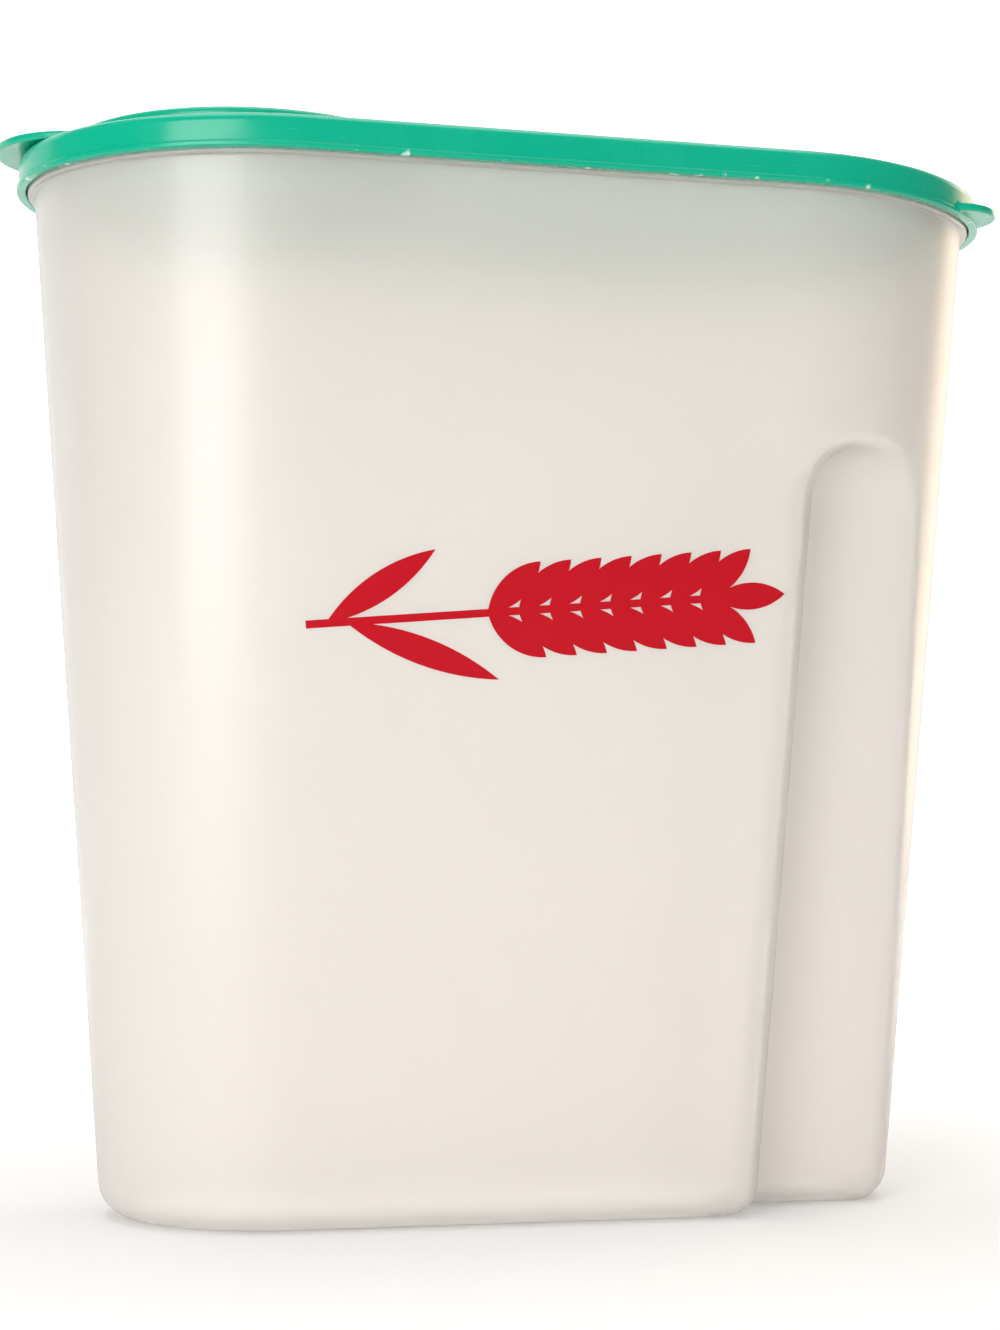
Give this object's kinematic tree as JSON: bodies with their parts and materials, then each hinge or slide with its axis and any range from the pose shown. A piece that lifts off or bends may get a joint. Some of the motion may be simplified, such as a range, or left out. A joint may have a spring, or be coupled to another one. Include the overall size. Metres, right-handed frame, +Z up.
{
  "type": "cereal container with flip spout",
  "caption": "Tall tapered translucent cereal keeper with grip recesses, a push-on lid and a round flip cap over the pour opening.",
  "frame": {"origin": "middle of the container's flat base, on the surface it stands on", "axes": "+Z up, +X towards the grip end, -X towards the pouring end, -Y towards the printed front"},
  "size_m": [0.2717, 0.1232, 0.2839],
  "materials": {
    "body": "translucent natural polypropylene, glossy",
    "print": "glossy red ink on the plastic",
    "lid": "glossy green polyethylene",
    "cap": "glossy green polyethylene"
  },
  "bodies": {
    "container": {"container": "body", "front_print": "print"},
    "lid": {"lid": "lid"},
    "flip_cap": {"flip_cap": "cap"}
  },
  "joints": [
    {"name": "lid_lift", "type": "slide", "parent": "container", "child": "lid", "axis": [0, 0, 1], "range_m": [0, 0.06]},
    {"name": "cap_flip", "type": "hinge", "parent": "lid", "child": "flip_cap", "pos_m": [-0.01551, 0, 0.2804], "axis": [0, 1, 0], "range_deg": [0, 170]}
  ]
}
